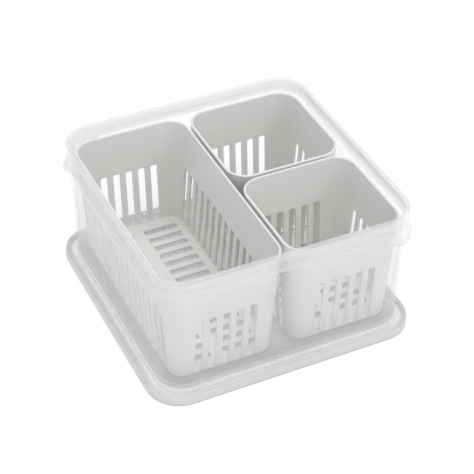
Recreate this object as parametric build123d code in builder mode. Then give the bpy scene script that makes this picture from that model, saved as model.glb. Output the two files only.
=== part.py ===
from build123d import *
from math import atan, degrees, pi
import os

# Square food keeper, in millimetres. +X is right, +Y is back, +Z is up. The origin is on the table, at the
# centre of the stack: the lid lies right way up, the outer box stands on it, and three drain baskets stand in
# the box, one long one on the left and two square ones on the right.

# outer box
box_neck_width = 157.4
box_neck_corner = 17.6
box_height = 81.4
box_draft_inset = 2.3
box_wall = 1.5
box_floor = 1.8
box_base_round = 2.0
box_floor_round = 1.6

# lip round the mouth of the box
lip_height = 6.9
lip_flare = 1.3
lip_thickness = 3.0
lip_round = 0.9

# flange under the lip
flange_reach = 3.5
flange_edge = 1.2
flange_slope = 1.4

# finger tabs, where the flange turns down at two opposite corners
tab_drop = 10.4
tab_edge = 2.0
tab_lead = 11.1
tab_run_out = 17.7
tab_arc_steps = 10

# lid
lid_clearance = 0.2
lid_skirt = 1.3
lid_height = 6.2
lid_corner = 20.5
lid_draft_inset = 0.4
lid_edge_round = 1.4
lid_panel = 1.4
lid_panel_margin = 3.4
lid_panel_recess = 0.8
lid_panel_step = 0.5
rib_wall = 1.2
rib_height = 2.6
rib_clearance = 0.3

# drain baskets
basket_clearance = 2.7
basket_gap = 1.8
basket_rim_depth = 7.8
basket_corner = 13.5
basket_inset = 5.0
basket_wall = 1.5
basket_floor = 1.6
basket_base_round = 2.4
basket_inner_round = 1.8
basket_rim_round = 0.5

# drain slots
slot_width = 4.4
slot_pitch = 8.3
slot_margin = 8.9
slot_top_below_rim = 29.0
slot_foot_above_floor = 0.8
floor_slot_margin = 5.7
floor_slot_web = 8.0

# how far a cut runs past what it cuts
overrun = 2.0

# heights of the stack
lid_panel_top = lid_height - lid_panel_recess
box_foot = lid_panel_top
box_top = box_foot + box_height
neck_top = box_top - lip_height
basket_foot = box_foot + box_floor
basket_rim = box_top - basket_rim_depth
basket_height = basket_rim - basket_foot

# widths and corner radii of the box, all corners round the same four upright axes
corner_centre = box_neck_width / 2 - box_neck_corner
box_base_width = box_neck_width - box_draft_inset * 2
box_base_corner = box_neck_corner - box_draft_inset
lip_width = box_neck_width + lip_flare * 2
lip_corner = box_neck_corner + lip_flare
mouth_width = lip_width - lip_thickness * 2
mouth_corner = lip_corner - lip_thickness
flange_width = box_neck_width + flange_reach * 2
flange_corner = box_neck_corner + flange_reach

# the skirt of the lid closes round the flange, and the baskets share the mouth
lid_width = flange_width + (lid_clearance + lid_skirt) * 2
basket_set = mouth_width - basket_clearance * 2
basket_side = (basket_set - basket_gap) / 2


def drafted_block(foot, width, depth, corner, rise, flare, mode=Mode.ADD):
    """Adds or cuts a block with round upright corners that stands on the plane foot.

    width, depth and corner are those at its foot, and its sides lean out by flare over its rise.
    """
    with BuildSketch(foot) as outline:
        RectangleRounded(width, depth, corner)
    extrude(outline.sketch, amount=rise, taper=-degrees(atan(flare / rise)), mode=mode)


def edges_at(height):
    """Picks the edges of the part in work that lie flat at one height."""
    return edges().filter_by_position(Axis.Z, height, height)


# Lid: a shallow cap with a recessed panel on top, and under it a rib that plugs the mouth of the box.
panel_underside = lid_panel_top - lid_panel
panel_width = lid_width - (lid_panel_margin + lid_panel_step) * 2
panel_corner = lid_corner - lid_panel_margin - lid_panel_step
skirt_width = lid_width - lid_skirt * 2
rib_width = mouth_width - rib_clearance * 2
rib_corner = mouth_corner - rib_clearance

with BuildPart() as lid:
    drafted_block(Plane.XY, lid_width, lid_width, lid_corner, lid_height, -lid_draft_inset)
    fillet(edges_at(lid_height), lid_edge_round)
    drafted_block(
        Plane.XY.offset(lid_panel_top), panel_width, panel_width, panel_corner,
        lid_panel_recess, lid_panel_step, mode=Mode.SUBTRACT,
    )
    drafted_block(
        Plane.XY, skirt_width, skirt_width, lid_corner - lid_skirt, panel_underside, -lid_draft_inset,
        mode=Mode.SUBTRACT,
    )
    with BuildSketch(Plane.XY.offset(panel_underside - rib_height)):
        RectangleRounded(rib_width, rib_width, rib_corner)
        offset(amount=-rib_wall, mode=Mode.SUBTRACT)
    extrude(amount=rib_height)
lid.part.label = "lid"


# Outer box: a drafted tub, a flange that turns down into two corner tabs, and a lip that flares out.
flange_root = box_neck_corner - box_wall / 2
quarter = flange_corner * pi / 2
tab_half_length = tab_lead + quarter / 2
tab_reach = tab_lead + flange_corner
tab_middle = flange_width / 2 - tab_reach / 2


def tab_slice(place):
    """A slice through the flange and the wall behind it, as a face.

    place is counted along the flange's edge from the middle of the corner. The edge keeps its outline in
    plan, and drops in a straight line over tab_run_out from each end of the tab.
    """
    on_arc = max(-quarter / 2, min(place, quarter / 2))
    outward = Vector(1, -1, 0).normalized().rotate(Axis.Z, degrees(on_arc / flange_corner))
    upward = Vector(0, 0, 1)
    along = upward.cross(outward)
    axis_foot = Vector(corner_centre, -corner_centre, 0)
    slice_plane = Plane(origin=axis_foot + along * (place - on_arc), x_dir=outward, z_dir=-along)
    turn_share = min((tab_half_length - abs(place)) / tab_run_out, 1)
    edge_top = neck_top - flange_slope - (tab_drop - flange_slope) * turn_share
    edge_foot = edge_top - flange_edge - (tab_edge - flange_edge) * turn_share
    with BuildSketch(slice_plane, mode=Mode.PRIVATE) as profile:
        with BuildLine():
            Polyline(
                (flange_root, neck_top),
                (box_neck_corner, neck_top),
                (flange_corner, edge_top),
                (flange_corner, edge_foot),
                (flange_root, edge_foot),
                close=True,
            )
        make_face()
    return profile.sketch


with BuildPart() as tab:
    round_places = [quarter * (step / tab_arc_steps - 1 / 2) for step in range(tab_arc_steps + 1)]
    loft([tab_slice(place) for place in (-tab_half_length, *round_places, tab_half_length)], ruled=True)

with BuildPart() as outer_box:
    flange_foot = Plane.XY.offset(neck_top - flange_slope - flange_edge)
    drafted_block(flange_foot, flange_width, flange_width, flange_corner, flange_edge, 0)
    drafted_block(
        flange_foot.offset(flange_edge), flange_width, flange_width, flange_corner,
        flange_slope, -flange_reach,
    )
    with BuildSketch(flange_foot):
        with Locations((tab_middle, -tab_middle), (-tab_middle, tab_middle)):
            Rectangle(tab_reach, tab_reach)
    extrude(amount=flange_edge + flange_slope, mode=Mode.SUBTRACT)
    add([tab.part, tab.part.rotate(Axis.Z, 180)])
    box_rise = neck_top - box_foot
    drafted_block(
        Plane.XY.offset(box_foot), box_base_width, box_base_width, box_base_corner, box_rise, box_draft_inset
    )
    drafted_block(
        Plane.XY.offset(neck_top), box_neck_width, box_neck_width, box_neck_corner, lip_height, lip_flare
    )
    fillet(edges_at(box_foot), box_base_round)
    cavity_flare = (mouth_width - box_base_width) / 2 + box_wall
    drafted_block(
        Plane.XY.offset(basket_foot), box_base_width - box_wall * 2, box_base_width - box_wall * 2,
        box_base_corner - box_wall, neck_top - basket_foot, cavity_flare, mode=Mode.SUBTRACT,
    )
    drafted_block(
        Plane.XY.offset(neck_top), mouth_width, mouth_width, mouth_corner, lip_height, 0, mode=Mode.SUBTRACT
    )
    fillet(edges_at(basket_foot), box_floor_round)
    fillet(edges_at(box_top), lip_round)
outer_box.part.label = "outer_box"


def slot_count(side):
    """How many slots fit in a row along a basket's wall."""
    return int((side - (basket_inset + slot_margin) * 2 - slot_width) / slot_pitch) + 1


def basket(centre_x, centre_y, width, depth):
    """One drain basket: a drafted open tub with slots through its four walls and its floor."""
    foot = Plane(origin=(centre_x, centre_y, basket_foot))
    floor_top = basket_foot + basket_floor
    floor_inset = basket_wall + basket_inset * (1 - basket_floor / basket_height)
    foot_width = width - basket_inset * 2
    slot_foot = floor_top + slot_foot_above_floor
    slot_height = basket_rim - slot_top_below_rim - slot_foot
    slot_middle = (centre_x, centre_y, slot_foot + slot_height / 2)
    floor_slot_length = (foot_width - floor_slot_margin * 2 - floor_slot_web) / 2
    with BuildPart() as tub:
        drafted_block(
            foot, foot_width, depth - basket_inset * 2, basket_corner - basket_inset,
            basket_height, basket_inset,
        )
        fillet(edges_at(basket_foot), basket_base_round)
        drafted_block(
            foot.offset(basket_floor), width - floor_inset * 2, depth - floor_inset * 2,
            basket_corner - floor_inset, basket_height - basket_floor, floor_inset - basket_wall,
            mode=Mode.SUBTRACT,
        )
        fillet(edges_at(floor_top), basket_inner_round)
        fillet(edges_at(basket_rim), basket_rim_round)
        with BuildSketch(Plane(origin=slot_middle, x_dir=(1, 0, 0), z_dir=(0, -1, 0))):
            with GridLocations(slot_pitch, 0, slot_count(width), 1):
                Rectangle(slot_width, slot_height)
        extrude(amount=depth / 2, both=True, mode=Mode.SUBTRACT)
        with BuildSketch(Plane(origin=slot_middle, x_dir=(0, 1, 0), z_dir=(1, 0, 0))):
            with GridLocations(slot_pitch, 0, slot_count(depth), 1):
                Rectangle(slot_width, slot_height)
        extrude(amount=width / 2, both=True, mode=Mode.SUBTRACT)
        with BuildSketch(foot.offset(-overrun)):
            with GridLocations(floor_slot_length + floor_slot_web, slot_pitch, 2, slot_count(depth)):
                Rectangle(floor_slot_length, slot_width)
        extrude(amount=basket_floor + overrun * 2, mode=Mode.SUBTRACT)
    return tub.part


left_x = (basket_side - basket_set) / 2
right_x = -left_x
front_y = left_x
back_y = -front_y

basket_large = basket(left_x, 0, basket_side, basket_set)
basket_large.label = "basket_large"

basket_small_front = basket(right_x, front_y, basket_side, basket_side)
basket_small_front.label = "basket_small_front"

basket_small_back = basket(right_x, back_y, basket_side, basket_side)
basket_small_back.label = "basket_small_back"


os.makedirs("parts", exist_ok=True)
for piece in (lid.part, outer_box.part, basket_large, basket_small_front, basket_small_back):
    export_step(piece, f"parts/{piece.label}.step")
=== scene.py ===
"""The square food keeper in its finishes: frosted lid and box, white drain baskets, pale studio floor."""
import math

import bmesh
import bpy
import numpy as np
from mathutils import Matrix, Vector


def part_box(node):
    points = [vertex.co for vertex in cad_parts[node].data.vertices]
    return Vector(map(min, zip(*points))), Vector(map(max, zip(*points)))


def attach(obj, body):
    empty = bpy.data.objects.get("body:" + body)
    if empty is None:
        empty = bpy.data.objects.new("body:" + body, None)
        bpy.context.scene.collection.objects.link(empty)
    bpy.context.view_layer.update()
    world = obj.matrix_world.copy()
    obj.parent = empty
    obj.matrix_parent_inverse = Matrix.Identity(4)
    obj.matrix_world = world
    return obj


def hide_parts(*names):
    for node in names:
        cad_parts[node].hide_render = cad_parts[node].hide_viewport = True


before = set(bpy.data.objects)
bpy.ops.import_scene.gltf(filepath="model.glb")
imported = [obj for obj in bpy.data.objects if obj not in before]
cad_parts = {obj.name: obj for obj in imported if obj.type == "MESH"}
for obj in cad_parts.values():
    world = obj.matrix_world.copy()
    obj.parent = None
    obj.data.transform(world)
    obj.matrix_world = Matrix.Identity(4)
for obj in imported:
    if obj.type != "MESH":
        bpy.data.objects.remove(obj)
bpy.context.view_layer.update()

MM = 0.001

# lengths in millimetres, as the mouldings are drawn

# lid
lid_half = 83.7
lid_corner = 20.5
lid_height = 6.2
lid_draft = 0.4
lid_panel_half = 80.3
lid_panel_top = 5.4
lid_panel_step = 0.5
lid_panel = 1.4
lid_skirt = 1.3
rib_half = 76.7
rib_corner = 15.6
rib_wall = 1.2
rib_height = 2.6
lid_edge_round = 1.4
lid_panel_round = 0.35
lid_foot_round = 0.25
lid_root_round = 0.4
rib_edge_round = 0.3

# outer box
box_corner_centre = 61.1
box_foot = 5.4
box_foot_reach = 15.3
box_neck = 79.9
box_neck_reach = 17.6
box_top = 86.8
box_lip_reach = 18.9
box_lip_thickness = 3.0
box_floor_top = 7.2
box_floor_reach = 13.8
box_base_round = 2.0
box_neck_round = 0.6
box_lip_round = 0.9
box_mouth_round = 2.0
box_floor_round = 1.6

# flange and its finger tabs
flange_reach = 21.1
flange_edge = 1.2
flange_slope = 1.4
flange_root_round = 0.5
flange_edge_round = 0.4
tab_drop = 10.4
tab_edge = 2.0
tab_lead = 11.1
tab_run_out = 17.7
tab_ease = 3.0
tab_ease_sharpness = 3

# drain baskets
basket_corner = 13.5
basket_rim = 79.0
basket_inset = 5.0
basket_wall = 1.5
basket_base_round = 2.4
basket_edge_round = 0.3
slot_width = 4.4
slot_pitch = 8.3
slot_round = 0.9
slot_foot_height = 2.4
slot_top_depth = 29.0
short_wall_slots = 5
long_wall_slots = 15
floor_slot_inner_end = 4.0
floor_slot_outer_end = 26.0

# a basket stands this far over the box's floor, and the box half as far over the lid, so no faces coincide
seat_gap = 0.05

# how finely the mouldings are divided; lengths in millimetres, the bevel's angle in degrees
corner_steps = 16
round_steps = 6
slot_round_steps = 3
support = 0.2
innermost_half = 1.0
innermost_reach = 0.5
least_reach = 0.01
tab_line_first = 0.5
tab_line_step = 0.75
tab_line_overrun = 2.0
wall_line_gap = 1.0
bevel_segments = 2
bevel_angle = 40

# lengths so small that they count as none, in millimetres, and the decimals to which a line's place is kept
same_ring = 0.01
same_place = 1e-6
seam_gap = 1e-4
line_decimals = 6

# cosine of the most that a station of a tab's corner is turned from its middle, a little over 45 degrees
tab_corner_lean = 0.7

# where a finish, or painted light or shade, changes, from and to, as heights or reaches in millimetres
lid_panel_reach = lid_panel_half - (lid_half - lid_corner)
lip_veil = (box_neck - 4.0, box_neck - 1.0)
flange_veil = (box_neck_reach + 0.3, box_neck_reach + 1.3)
foot_edge = (box_foot_reach - 2.5, box_foot_reach - 1.0)
foot_rise = (box_foot + 0.6, box_foot + 2.4)
lid_margin = (lid_panel_reach - 0.4, lid_panel_reach + 0.1)
# painted shade: the height of the grey line along the lid's foot
lid_foot_painted_shade_line = (0.2, 0.8)
# painted light: the baskets' colour grows lighter up the wall, towards the open top where more light falls in
basket_painted_light_rise = (basket_rim - 26.0, basket_rim + 2.0)
# painted highlight: where the baskets' rim is painted lighter than the wall
basket_rim_painted_highlight_rise = (basket_rim - 1.1, basket_rim - 0.4)

# colours, as shares of red, green and blue
box_wall_colour = (0.86, 0.855, 0.875)
box_lip_colour = (0.89, 0.885, 0.91)
# painted light: the lid's panel is painted lighter than its margin, to lift the shade that the box casts on
# it
lid_panel_painted_light_colour = (0.97, 0.97, 0.965)
lid_margin_colour = (0.81, 0.81, 0.81)
# painted shade: the grey of the line along the lid's foot
lid_foot_painted_shade_colour = (0.5, 0.5, 0.5)
# painted light: the baskets' white, darker low on the wall and lighter high on it
basket_painted_light_low_colour = (0.85, 0.842, 0.827)
basket_painted_light_high_colour = (0.92, 0.917, 0.905)
# painted highlight: the baskets' rim, lighter than the wall
basket_rim_painted_highlight_colour = (0.92, 0.92, 0.915)

# frosting: how much of it veils what lies behind; thick, foot, margin and slant covers are added to the rest
box_wall_cover = 0.15
box_thick_cover = 0.25
box_foot_cover = 0.25
lid_panel_cover = 0.30
lid_margin_cover = 0.30
slant_cover = 0.4
slant_power = 3.0
cover_swing = 0.2
cover_waves = 90.0

# gloss: a drift or a grain has its waves to the metre, and a drift the whole width of its swing
frosted_index = 1.4
frosted_transmission = 0.15
frosted_roughness_swing = 0.06
frosted_roughness_waves = 30.0
frosted_grain_waves = 900.0
box_roughness = 0.1
lid_roughness = 0.2
basket_index = 1.49
basket_roughness = 0.42
basket_roughness_swing = 0.1
basket_roughness_waves = 40.0
basket_grain_waves = 700.0
grain_detail = 3.0
grain_roughness = 0.6
grain_strength = 0.12
grain_depth = 0.2
noise_middle = 0.5

# a Mix node's number and vector sockets, which a mix of colours leaves alone, and its colour output
mix_spare_sockets = [None] * 5
mix_colour_output = 2

# studio: lights give their place and side in metres and their power in watts
floor_half = 6.0
floor_shade = 0.95
floor_roughness = 0.9
floor_glow = 0.34
world_strength = 0.47
key_light = ((0.4, -1.1, 0.85), 0.7, 2.6)
fill_light = ((-1.0, -0.2, 0.8), 0.9, 0.4)
top_light = ((0.0, 0.0, 1.6), 1.2, 10.6)
white = (1.0, 1.0, 1.0, 1.0)

# camera, as the photograph was taken: angles in degrees, lengths in metres, lens and frame in millimetres
camera_azimuth = -26.14
camera_elevation = 39.25
camera_roll = 0.99
camera_distance = 0.8765
camera_aim = Vector((-0.00657, -0.01923, 0.05433))
camera_nearest = 0.05
camera_farthest = 50.0
camera_lens = 114.24
sensor_side = 36.0


def side_stations(core_x, core_y, lines_x, lines_y):
    """Stations round a rectangle of corner centres, counter-clockwise seen from above.

    A side that is turned by t runs along (cos t, sin t) and faces outward (sin t, -cos t). Its stations
    stand at the given lines, and the quarter turn after it has corner_steps steps. Returns the stations'
    feet on the rectangle, their outward directions and their directions along the rim.
    """
    feet, outward, along = [], [], []
    for quarter, (lines, reach) in enumerate(((lines_x, core_y), (lines_y, core_x)) * 2):
        turn = quarter * math.pi / 2 + np.linspace(0, math.pi / 2, corner_steps + 1)[:-1]
        turn = np.concatenate([np.full(len(lines) - 1, turn[0]), turn])
        place = np.concatenate([lines, np.full(corner_steps - 1, lines[-1])])
        heading = np.array([math.cos(quarter * math.pi / 2), math.sin(quarter * math.pi / 2)])
        facing = np.array([heading[1], -heading[0]])
        feet.append(place[:, None] * heading + reach * facing)
        outward.append(np.stack([np.sin(turn), -np.cos(turn)], 1))
        along.append(np.stack([np.cos(turn), np.sin(turn)], 1))
    return tuple(np.concatenate(part) for part in (feet, outward, along))


def rounded_profile(corners, radii):
    """Rounds the inner corners of an open outline; corners is (corner, station, 2) in reach and height.

    At a corner with unit vectors u and v to its neighbours and an angle p between them, the arc of radius
    R starts R / tan(p / 2) from the corner, its centre lies R / sin(p / 2) along the bisector, and its points
    turn evenly from one tangent point to the other. Support points stand just before and after each arc.
    """
    rows = [corners[:1]]
    share = np.linspace(0, 1, round_steps + 1)[:, None, None]
    for index, radius in enumerate(radii, start=1):
        before, corner, after = corners[index - 1:index + 2]
        to_before = (before - corner) / np.linalg.norm(before - corner, axis=-1, keepdims=True)
        to_after = (after - corner) / np.linalg.norm(after - corner, axis=-1, keepdims=True)
        half_angle = np.arccos(np.clip((to_before * to_after).sum(-1, keepdims=True), -1, 1)) / 2
        tangent = radius / np.tan(half_angle)
        bisector = (to_before + to_after) / np.linalg.norm(to_before + to_after, axis=-1, keepdims=True)
        centre = corner + bisector * radius / np.sin(half_angle)
        start = corner + to_before * tangent - centre
        end = corner + to_after * tangent - centre
        sweep = math.pi - 2 * half_angle
        arc = centre + (np.sin((1 - share) * sweep) * start + np.sin(share * sweep) * end) / np.sin(sweep)
        room = min(support, radius)
        rows += [(arc[0] + to_before * room)[None], arc, (arc[-1] + to_after * room)[None]]
    rows.append(corners[-1:])
    return np.concatenate(rows)


def ring_faces(rows, stations):
    """Quads between neighbouring rings of stations, closed round, as (row, station, 4) vertex numbers."""
    number = np.arange(rows * stations).reshape(rows, stations)
    right = np.roll(number, -1, axis=1)
    return np.stack([number[:-1], right[:-1], right[1:], number[1:]], axis=-1)


def make_piece(name, points, faces, material):
    """Puts points in millimetres and quads into a mesh, merges its seams and poles, and shades it smooth."""
    mesh = bpy.data.meshes.new(name)
    mesh.from_pydata((points * MM).tolist(), [], faces.tolist())
    work = bmesh.new()
    work.from_mesh(mesh)
    bmesh.ops.remove_doubles(work, verts=work.verts, dist=seam_gap * MM)
    work.to_mesh(mesh)
    work.free()
    mesh.polygons.foreach_set("use_smooth", np.ones(len(mesh.polygons), dtype=bool))
    mesh.materials.append(material)
    piece = bpy.data.objects.new(name, mesh)
    bpy.context.scene.collection.objects.link(piece)
    return piece


def seat(piece, node):
    """Lets a piece stand for a node: it replaces it and rides on its body."""
    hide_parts(node)
    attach(piece, node)


def side_lines(core, extra=()):
    """Lines along a side, from one corner centre to the other, with a support line beside each."""
    lines = np.concatenate([[-core, support - core, core - support, core], extra])
    return np.unique(np.round(lines, line_decimals))


def swept_square(core, half, reach, height, lines):
    """Carries rings round a square: a ring of half width h and corner radius c has corner centres at h - c.

    half, reach and height are (row, station) or (row, 1). Returns points and faces.
    """
    feet, outward, _ = side_stations(core, core, lines, lines)
    half, reach, height = np.broadcast_arrays(half, reach, height, np.zeros((1, len(feet))))[:3]
    flat = feet * ((half - reach) / core)[..., None] + outward * reach[..., None]
    points = np.concatenate([flat, height[..., None]], axis=-1)
    return points.reshape(-1, 3), ring_faces(*half.shape).reshape(-1, 4)


def lid_moulding(material):
    """The lid: a closed outline of half widths and heights carried round a square with round corners.

    It runs from the middle of the underside out over the sealing rib and the skirt, up the drafted edge,
    over the raised margin and back to the middle of the panel. The rib has its own corner centres.
    """
    underside = lid_panel_top - lid_panel
    rib_foot = underside - rib_height
    rib_outline = [
        (rib_half - rib_wall, underside), (rib_half - rib_wall, rib_foot), (rib_half, rib_foot),
        (rib_half, underside),
    ]
    outline = np.array([
        (innermost_half, underside), *rib_outline, (lid_half - lid_skirt - lid_draft, underside),
        (lid_half - lid_skirt, 0), (lid_half, 0), (lid_half - lid_draft, lid_height),
        (lid_panel_half, lid_height), (lid_panel_half - lid_panel_step, lid_panel_top),
        (innermost_half, lid_panel_top),
    ])
    radii = (
        lid_root_round, rib_edge_round, rib_edge_round, lid_root_round, lid_root_round,
        lid_foot_round, lid_foot_round, lid_edge_round, lid_panel_round, lid_panel_round,
    )
    rows = rounded_profile(outline[:, None, :], radii)
    half, height = rows[..., 0], rows[..., 1]
    rows_to_a_round = round_steps + 3
    rib_rows = 1 + len(rib_outline) * rows_to_a_round
    on_rib = (np.arange(len(rows)) < rib_rows)[:, None]
    core = lid_half - lid_corner
    centre = np.where(on_rib, rib_half - rib_corner, core)
    reach = np.maximum(half - centre, least_reach)
    half = np.concatenate([np.zeros((1, 1)), half, np.zeros((1, 1))])
    reach = np.concatenate([np.zeros((1, 1)), reach, np.zeros((1, 1))])
    height = np.concatenate([height[:1], height, height[-1:]])
    return make_piece("lid_moulding", *swept_square(core, half, reach, height, side_lines(core)), material)


def eased_above_zero(value, width):
    """Nearly 0 below 0 and nearly the value above it: w * log(1 + exp(s * value / w)) / s.

    w is the width of the bend between, and s its sharpness.
    """
    return width * np.logaddexp(0, value / width * tab_ease_sharpness) / tab_ease_sharpness


def tab_turn(feet, outward):
    """How far the flange is turned down at each station, from 0 to 1.

    Counted along the flange's edge from the middle of a tab's corner, the turn falls in a line over
    tab_run_out up to the tab's end, and both ends of that line are eased into a curve.
    """
    tab_corner = np.array([box_corner_centre, -box_corner_centre])
    quarter = flange_reach * math.pi / 2
    ease = tab_ease / tab_run_out
    turn = np.zeros(len(feet))
    for side in (1, -1):
        from_corner = feet - tab_corner * side
        straight = np.abs(from_corner).sum(1)
        diagonal = outward @ (np.array([1, -1]) * side / math.sqrt(2))
        on_arc = np.arccos(np.clip(diagonal, -1, 1)) * flange_reach
        place = np.where(straight < same_place, on_arc, quarter / 2 + straight)
        place = np.where(diagonal > tab_corner_lean, place, tab_lead + quarter)
        left = (tab_lead + quarter / 2 - place) / tab_run_out
        turn += 1 - eased_above_zero(1 - eased_above_zero(left, ease), ease)
    return np.clip(turn, 0, 1)


def box_moulding(material):
    """The outer box: a closed outline carried round a square, whose flange drops where a tab is.

    It runs from the middle of the underside out and up the drafted wall, round the flange, up the flared
    lip, over it and down inside to the middle of the floor. Reaches are counted from the corner centres.
    """
    near_tab = box_corner_centre - np.arange(tab_line_first, tab_lead + tab_line_overrun, tab_line_step)
    lines = side_lines(box_corner_centre, np.concatenate([near_tab, -near_tab]))
    feet, outward, _ = side_stations(box_corner_centre, box_corner_centre, lines, lines)
    turn = tab_turn(feet, outward)
    edge_top = box_neck - flange_slope - (tab_drop - flange_slope) * turn
    edge_foot = edge_top - flange_edge - (tab_edge - flange_edge) * turn
    lean = (box_neck_reach - box_foot_reach) / (box_neck - box_foot)
    wall_reach = box_foot_reach + (edge_foot - box_foot) * lean
    mouth_reach = box_lip_reach - box_lip_thickness
    level = np.ones(len(feet))
    foot = box_foot + seat_gap / 2
    outline = np.stack([
        np.stack([reach * level, height * level], -1) for reach, height in (
            (innermost_reach, foot), (box_foot_reach, foot), (wall_reach, edge_foot),
            (flange_reach, edge_foot), (flange_reach, edge_top), (box_neck_reach, box_neck),
            (box_lip_reach, box_top), (mouth_reach, box_top), (mouth_reach, box_neck),
            (box_floor_reach, box_floor_top), (innermost_reach, box_floor_top),
        )
    ])
    radii = (
        box_base_round, flange_root_round, flange_edge_round, flange_edge_round, box_neck_round,
        box_lip_round, box_lip_round, box_mouth_round, box_floor_round,
    )
    rows = rounded_profile(outline, radii)
    reach = np.concatenate([np.zeros((1, len(feet))), rows[..., 0], np.zeros((1, len(feet)))])
    height = np.concatenate([rows[:1, :, 1], rows[..., 1], rows[-1:, :, 1]])
    half = reach + box_corner_centre
    half[[0, -1]] = 0
    return make_piece(
        "outer_box_moulding", *swept_square(box_corner_centre, half, reach, height, lines), material
    )


def slot_edges(count):
    """The low and high edges of a row of slots about the middle of a side."""
    middles = (np.arange(count) - (count - 1) / 2) * slot_pitch
    return middles - slot_width / 2, middles + slot_width / 2


def round_in(distance):
    """How far a slot's side is drawn in at a distance from its end: the quarter arc of its corner."""
    left = np.clip(slot_round - distance, 0, slot_round)
    return slot_round - np.sqrt(slot_round ** 2 - left ** 2)


def within(values, lows, highs):
    """Which values lie between a low and its high."""
    return ((values[..., None] > lows) & (values[..., None] < highs)).any(-1)


def edge_side(values, lows, highs):
    """1 on a low edge of a slot, -1 on a high edge, 0 elsewhere."""
    on_low = np.isclose(values[:, None], lows).any(1)
    on_high = np.isclose(values[:, None], highs).any(1)
    return on_low.astype(float) - on_high


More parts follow.
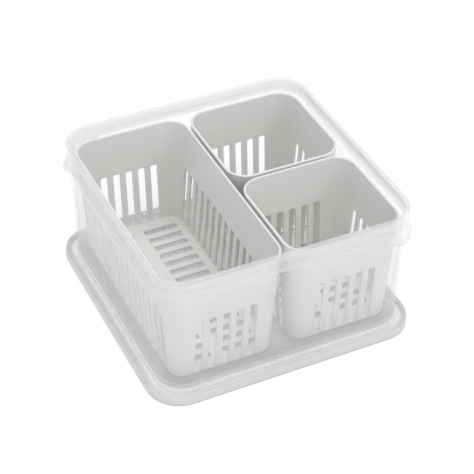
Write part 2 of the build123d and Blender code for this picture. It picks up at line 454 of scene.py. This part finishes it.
def basket_moulding(node, slots_x, slots_y, material):
    """A drain basket: rings from the floor out and up to the rim, with the cells of the slots left out.

    A ring at reach r stands r outside the rectangle of corner centres. The wall leans out by basket_inset
    over its height, a round joins it to the floor, and the sides of the slots draw in by a quarter arc at
    each end. The rectangle of corner centres itself is filled by a grid on the same lines. Solidify and
    Bevel give the wall its thickness and its soft edges.
    """
    low, high = (np.array(corner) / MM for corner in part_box(node))
    middle = (low + high) / 2
    core_x, core_y = (high - low)[:2] / 2 - basket_corner
    foot, rim = low[2] + seat_gap, high[2]
    arc_marks = slot_round * (1 - np.cos(np.linspace(0, math.pi / 2, slot_round_steps + 1)))

    lows_x, highs_x = slot_edges(slots_x)
    lows_y, highs_y = slot_edges(slots_y)
    end_marks = floor_slot_inner_end + arc_marks
    lines_x = side_lines(core_x, np.concatenate([lows_x, highs_x, end_marks, -end_marks]))
    lines_y = side_lines(core_y, np.concatenate([lows_y, highs_y]))
    feet, outward, along = side_stations(core_x, core_y, lines_x, lines_y)

    lean = math.atan2(basket_inset, rim - foot)
    wall_foot = basket_corner - basket_inset
    slot_foot = low[2] + slot_foot_height
    slot_top = rim - slot_top_depth
    round_height = foot + basket_base_round
    round_reach = wall_foot + basket_base_round * math.tan(lean) - basket_base_round / math.cos(lean)
    turn = np.linspace(-math.pi / 2, -lean, round_steps + 1)
    floor_end = floor_slot_outer_end - core_x
    floor_reach = np.concatenate([[0], floor_end - arc_marks[::-1], [round_reach - support]])
    wall_height = np.concatenate([
        slot_foot + arc_marks, [(slot_foot + slot_top) / 2], slot_top - arc_marks[::-1],
        [slot_top + wall_line_gap, rim - wall_line_gap, rim],
    ])
    reach = np.concatenate([
        floor_reach, round_reach + basket_base_round * np.cos(turn),
        wall_foot + (wall_height - foot) * math.tan(lean),
    ])
    height = np.concatenate([
        np.full(len(floor_reach), foot), round_height + basket_base_round * np.sin(turn), wall_height,
    ])
    wall_ring = np.arange(len(reach)) >= len(reach) - len(wall_height)
    floor_ring = np.arange(len(reach)) < len(floor_reach)
    from_slot_end = np.minimum(height - slot_foot, slot_top - height)
    wall_in = np.where(wall_ring & (height < slot_top + same_ring), round_in(from_slot_end), 0)
    floor_in = np.where(floor_ring & (reach < floor_end + same_ring), round_in(floor_end - reach), 0)

    straight = np.isclose(np.abs(outward), 1).any(1)
    faces_x = np.abs(outward[:, 0]) > np.abs(outward[:, 1])
    place = (feet * along).sum(1)
    side_x, side_y = edge_side(place, lows_x, highs_x), edge_side(place, lows_y, highs_y)
    side = np.where(faces_x, side_y, side_x) * straight
    slide = wall_in[:, None] * side + floor_in[:, None] * side * faces_x
    flat = feet + outward * reach[:, None, None] + along * slide[..., None]
    ring_points = np.concatenate(
        [flat, np.broadcast_to(height[:, None, None], slide.shape + (1,))], axis=-1
    )

    next_place = (np.roll(feet, -1, axis=0) * along).sum(1)
    cell_middle = (place + next_place) / 2
    on_side = straight & (next_place > place + same_place)
    in_y = within(cell_middle, lows_y, highs_y) & faces_x & on_side
    in_x = within(cell_middle, lows_x, highs_x) & ~faces_x & on_side
    row_middle = (height[1:] + height[:-1]) / 2
    reach_middle = (reach[1:] + reach[:-1]) / 2
    open_wall = wall_ring[:-1] & (row_middle > slot_foot) & (row_middle < slot_top)
    open_floor = floor_ring[1:] & (reach_middle < floor_end)
    gone = open_wall[:, None] & (in_x | in_y) | open_floor[:, None] & in_y
    ring_quads = ring_faces(*slide.shape)[~gone]

    past_end = np.abs(lines_x) - floor_slot_inner_end
    grid_in = round_in(np.abs(past_end)) * (past_end > -same_ring)
    grid_y = lines_y + grid_in[:, None] * edge_side(lines_y, lows_y, highs_y)
    grid_x = np.broadcast_to(lines_x[:, None], grid_y.shape)
    grid_points = np.stack([grid_x, grid_y, np.full(grid_y.shape, foot)], axis=-1)
    number = np.arange(grid_y.size).reshape(grid_y.shape)
    grid_quads = np.stack([number[:-1, :-1], number[:-1, 1:], number[1:, 1:], number[1:, :-1]], axis=-1)
    middle_x = (lines_x[1:] + lines_x[:-1]) / 2
    middle_y = (lines_y[1:] + lines_y[:-1]) / 2
    gone = (np.abs(middle_x) > floor_slot_inner_end)[:, None] & within(middle_y, lows_y, highs_y)
    grid_quads = grid_quads[~gone]

    points = np.concatenate([ring_points.reshape(-1, 3), grid_points.reshape(-1, 3)])
    points[:, :2] += middle[:2]
    quads = np.concatenate([ring_quads, grid_quads + slide.size])
    piece = make_piece(node + "_moulding", points, quads, material)
    wall = piece.modifiers.new("wall", "SOLIDIFY")
    wall.thickness = basket_wall * MM
    wall.offset = -1.0
    wall.use_even_offset = True
    edges = piece.modifiers.new("edges", "BEVEL")
    edges.width = basket_edge_round * MM
    edges.segments = bevel_segments
    edges.limit_method = "ANGLE"
    edges.angle_limit = math.radians(bevel_angle)
    edges.use_clamp_overlap = False
    return piece


class Value:
    """A shader socket that takes part in sums: an expression on values adds its Math nodes."""

    def __init__(self, made, socket):
        self.made = made
        self.socket = socket

    def _math(self, operation, *others):
        return self.made.node("ShaderNodeMath", {"operation": operation}, self, *others)

    def __add__(self, other):
        return self._math("ADD", other)

    __radd__ = __add__

    def __sub__(self, other):
        return self._math("SUBTRACT", other)

    def __rsub__(self, other):
        return self.made.node("ShaderNodeMath", {"operation": "SUBTRACT"}, other, self)

    def __mul__(self, other):
        return self._math("MULTIPLY", other)

    __rmul__ = __mul__

    def __pow__(self, other):
        return self._math("POWER", other)

    def __abs__(self):
        return self._math("ABSOLUTE")

    def at_least(self, other):
        return self._math("MAXIMUM", other)

    def ramp(self, low, high):
        """0 below low and 1 above high, both in millimetres, with an eased rise between."""
        settings = {"interpolation_type": "SMOOTHSTEP"}
        return self.made.node("ShaderNodeMapRange", settings, self, low * MM, high * MM)


class Finish:
    """A node material in the making."""

    def __init__(self, name):
        self.material = bpy.data.materials.new(name)
        self.material.use_nodes = True
        self.tree = self.material.node_tree
        self.tree.nodes.clear()

    def node(self, kind, settings, *values, output=0, **named):
        """Adds a node, sets it up, fills its sockets with values or links, and returns an output."""
        made = self.tree.nodes.new(kind)
        for key, value in settings.items():
            setattr(made, key, value)
        for key, value in [*enumerate(values), *named.items()]:
            socket = made.inputs[key if isinstance(key, int) else key.replace("_", " ")]
            if isinstance(value, Value):
                self.tree.links.new(value.socket, socket)
            elif value is not None:
                socket.default_value = value
        return Value(self, made.outputs[output])

    def done(self, surface):
        """Puts the surface on the material's output and returns the material."""
        out = self.tree.nodes.new("ShaderNodeOutputMaterial")
        self.tree.links.new(surface.socket, out.inputs["Surface"])
        return self.material


def on_object(finish):
    """A point's place on the object."""
    return finish.node("ShaderNodeTexCoord", {}, output="Object")


def place_along(finish, axis):
    """A point's x, y or z on the object."""
    return finish.node("ShaderNodeSeparateXYZ", {}, on_object(finish), output=axis)


def mould_grain(finish, waves):
    """The fine bump that a spark-eroded mould leaves."""
    noise = finish.node(
        "ShaderNodeTexNoise", {},
        Vector=on_object(finish), Scale=waves, Detail=grain_detail, Roughness=grain_roughness,
    )
    return finish.node(
        "ShaderNodeBump", {}, Strength=grain_strength, Distance=grain_depth * MM, Height=noise
    )


def drift(finish, waves, middle, swing):
    """A slow change over the surface about a middle value."""
    noise = finish.node("ShaderNodeTexNoise", {}, Vector=on_object(finish), Scale=waves)
    return middle + swing * (noise - noise_middle)


def reach_past(finish, corner_centre):
    """A point's distance past the square of corner centres, from its ways past it in x and in y."""
    past_x, past_y = (
        (abs(place_along(finish, axis)) - corner_centre * MM).at_least(0.0) for axis in ("X", "Y")
    )
    return (past_x ** 2.0 + past_y ** 2.0) ** 0.5


def blend(finish, share, first, second):
    """The first colour where share is 0 and the second where it is 1."""
    ends = [end if isinstance(end, Value) else (*end, 1.0) for end in (first, second)]
    return finish.node(
        "ShaderNodeMix", {"data_type": "RGBA"}, share, *mix_spare_sockets, *ends, output=mix_colour_output
    )


def frosted(finish, colour, roughness, cover):
    """Frosted translucent moulding. cover is the share of it that veils what lies behind.

    That share drifts a little, as the frosting does, and grows where the plastic is seen at a slant, since
    the way through it is longer there.
    """
    slant = finish.node("ShaderNodeLayerWeight", {}, output="Facing") ** slant_power
    shader = finish.node(
        "ShaderNodeBsdfPrincipled", {},
        Base_Color=colour,
        Roughness=drift(finish, frosted_roughness_waves, roughness, frosted_roughness_swing),
        IOR=frosted_index,
        Alpha=cover * drift(finish, cover_waves, 1.0, cover_swing) + slant_cover * slant,
        Transmission_Weight=frosted_transmission,
        Normal=mould_grain(finish, frosted_grain_waves),
    )
    return finish.done(shader)


def frosted_box():
    """The box's frosting: a thin veil on the wall, and more on the lip, flange, tabs and rounded foot."""
    finish = Finish("box_frosted")
    z = place_along(finish, "Z")
    reach = reach_past(finish, box_corner_centre)
    thick = z.ramp(*lip_veil).at_least(reach.ramp(*flange_veil))
    foot = reach.ramp(*foot_edge) * (1.0 - z.ramp(*foot_rise))
    colour = blend(finish, thick, box_wall_colour, box_lip_colour)
    cover = box_wall_cover + box_thick_cover * thick + box_foot_cover * foot
    return frosted(finish, colour, box_roughness, cover)


def frosted_lid():
    """The lid's frosting: milkier on the raised margin than on the panel; the panel's lighter colour is
    painted light, and the grey line along its foot is painted shade.
    """
    finish = Finish("lid_frosted")
    margin = reach_past(finish, lid_half - lid_corner).ramp(*lid_margin)
    # painted light: the panel lighter than the margin
    colour = blend(finish, margin, lid_panel_painted_light_colour, lid_margin_colour)
    # painted shade: a grey line along the lid's foot
    colour = blend(finish, place_along(finish, "Z").ramp(*lid_foot_painted_shade_line), lid_foot_painted_shade_colour, colour)
    return frosted(finish, colour, lid_roughness, lid_panel_cover + lid_margin_cover * margin)


def white_basket():
    """The baskets' satin white with painted light: lighter up the wall, and a painted highlight on the rim.
    """
    finish = Finish("basket_white")
    z = place_along(finish, "Z")
    # painted light: lighter up the wall
    wall = blend(finish, z.ramp(*basket_painted_light_rise), basket_painted_light_low_colour, basket_painted_light_high_colour)
    shader = finish.node(
        "ShaderNodeBsdfPrincipled", {},
        # painted highlight on the rim
        Base_Color=blend(finish, z.ramp(*basket_rim_painted_highlight_rise), wall, basket_rim_painted_highlight_colour),
        Roughness=drift(finish, basket_roughness_waves, basket_roughness, basket_roughness_swing),
        IOR=basket_index,
        Normal=mould_grain(finish, basket_grain_waves),
    )
    return finish.done(shader)


def floor():
    """A pale floor that runs well past the view."""
    corners = [(x * floor_half, y * floor_half, 0) for x, y in ((-1, -1), (1, -1), (1, 1), (-1, 1))]
    mesh = bpy.data.meshes.new("floor")
    mesh.from_pydata(corners, [], [(0, 1, 2, 3)])
    piece = bpy.data.objects.new("floor", mesh)
    bpy.context.scene.collection.objects.link(piece)
    finish = Finish("floor_white")
    shader = finish.node(
        "ShaderNodeBsdfPrincipled", {},
        Base_Color=(floor_shade, floor_shade, floor_shade, 1.0), Roughness=floor_roughness,
        Emission_Color=white, Emission_Strength=floor_glow,
    )
    mesh.materials.append(finish.done(shader))


def soft_light(name, place, size, power):
    """A square area light that faces the object."""
    light = bpy.data.lights.new(name, "AREA")
    light.shape = "SQUARE"
    light.size = size
    light.energy = power
    lamp = bpy.data.objects.new(name, light)
    lamp.location = place
    lamp.rotation_euler = (camera_aim - Vector(place)).to_track_quat("-Z", "Y").to_euler()
    bpy.context.scene.collection.objects.link(lamp)


def world_light(strength):
    """Even light from all round."""
    world = bpy.data.worlds.new("studio")
    world.use_nodes = True
    background = world.node_tree.nodes["Background"]
    background.inputs["Color"].default_value = white
    background.inputs["Strength"].default_value = strength
    bpy.context.scene.world = world


def photo_camera():
    """The camera at the photograph's place, with its lens."""
    azimuth, elevation, roll = (math.radians(a) for a in (camera_azimuth, camera_elevation, camera_roll))
    back = Vector((
        math.sin(azimuth) * math.cos(elevation), -math.cos(azimuth) * math.cos(elevation), math.sin(elevation)
    ))
    level = Vector((math.cos(azimuth), math.sin(azimuth), 0.0))
    upright = back.cross(level)
    right = level * math.cos(roll) + upright * math.sin(roll)
    up = upright * math.cos(roll) - level * math.sin(roll)
    data = bpy.data.cameras.new("camera")
    data.lens = camera_lens
    data.sensor_width = sensor_side
    data.sensor_height = sensor_side
    data.clip_start = camera_nearest
    data.clip_end = camera_farthest
    camera = bpy.data.objects.new("camera", data)
    turned = Matrix((right, up, back)).transposed().to_4x4()
    camera.matrix_world = Matrix.Translation(camera_aim + back * camera_distance) @ turned
    bpy.context.scene.collection.objects.link(camera)
    bpy.context.scene.camera = camera


basket_white = white_basket()
seat(lid_moulding(frosted_lid()), "lid")
seat(box_moulding(frosted_box()), "outer_box")
for basket, slots_y in (
    ("basket_large", long_wall_slots),
    ("basket_small_front", short_wall_slots),
    ("basket_small_back", short_wall_slots),
):
    seat(basket_moulding(basket, short_wall_slots, slots_y, basket_white), basket)

floor()
world_light(world_strength)
soft_light("key", *key_light)
soft_light("fill", *fill_light)
soft_light("top", *top_light)
photo_camera()
bpy.context.scene.view_settings.view_transform = "Standard"
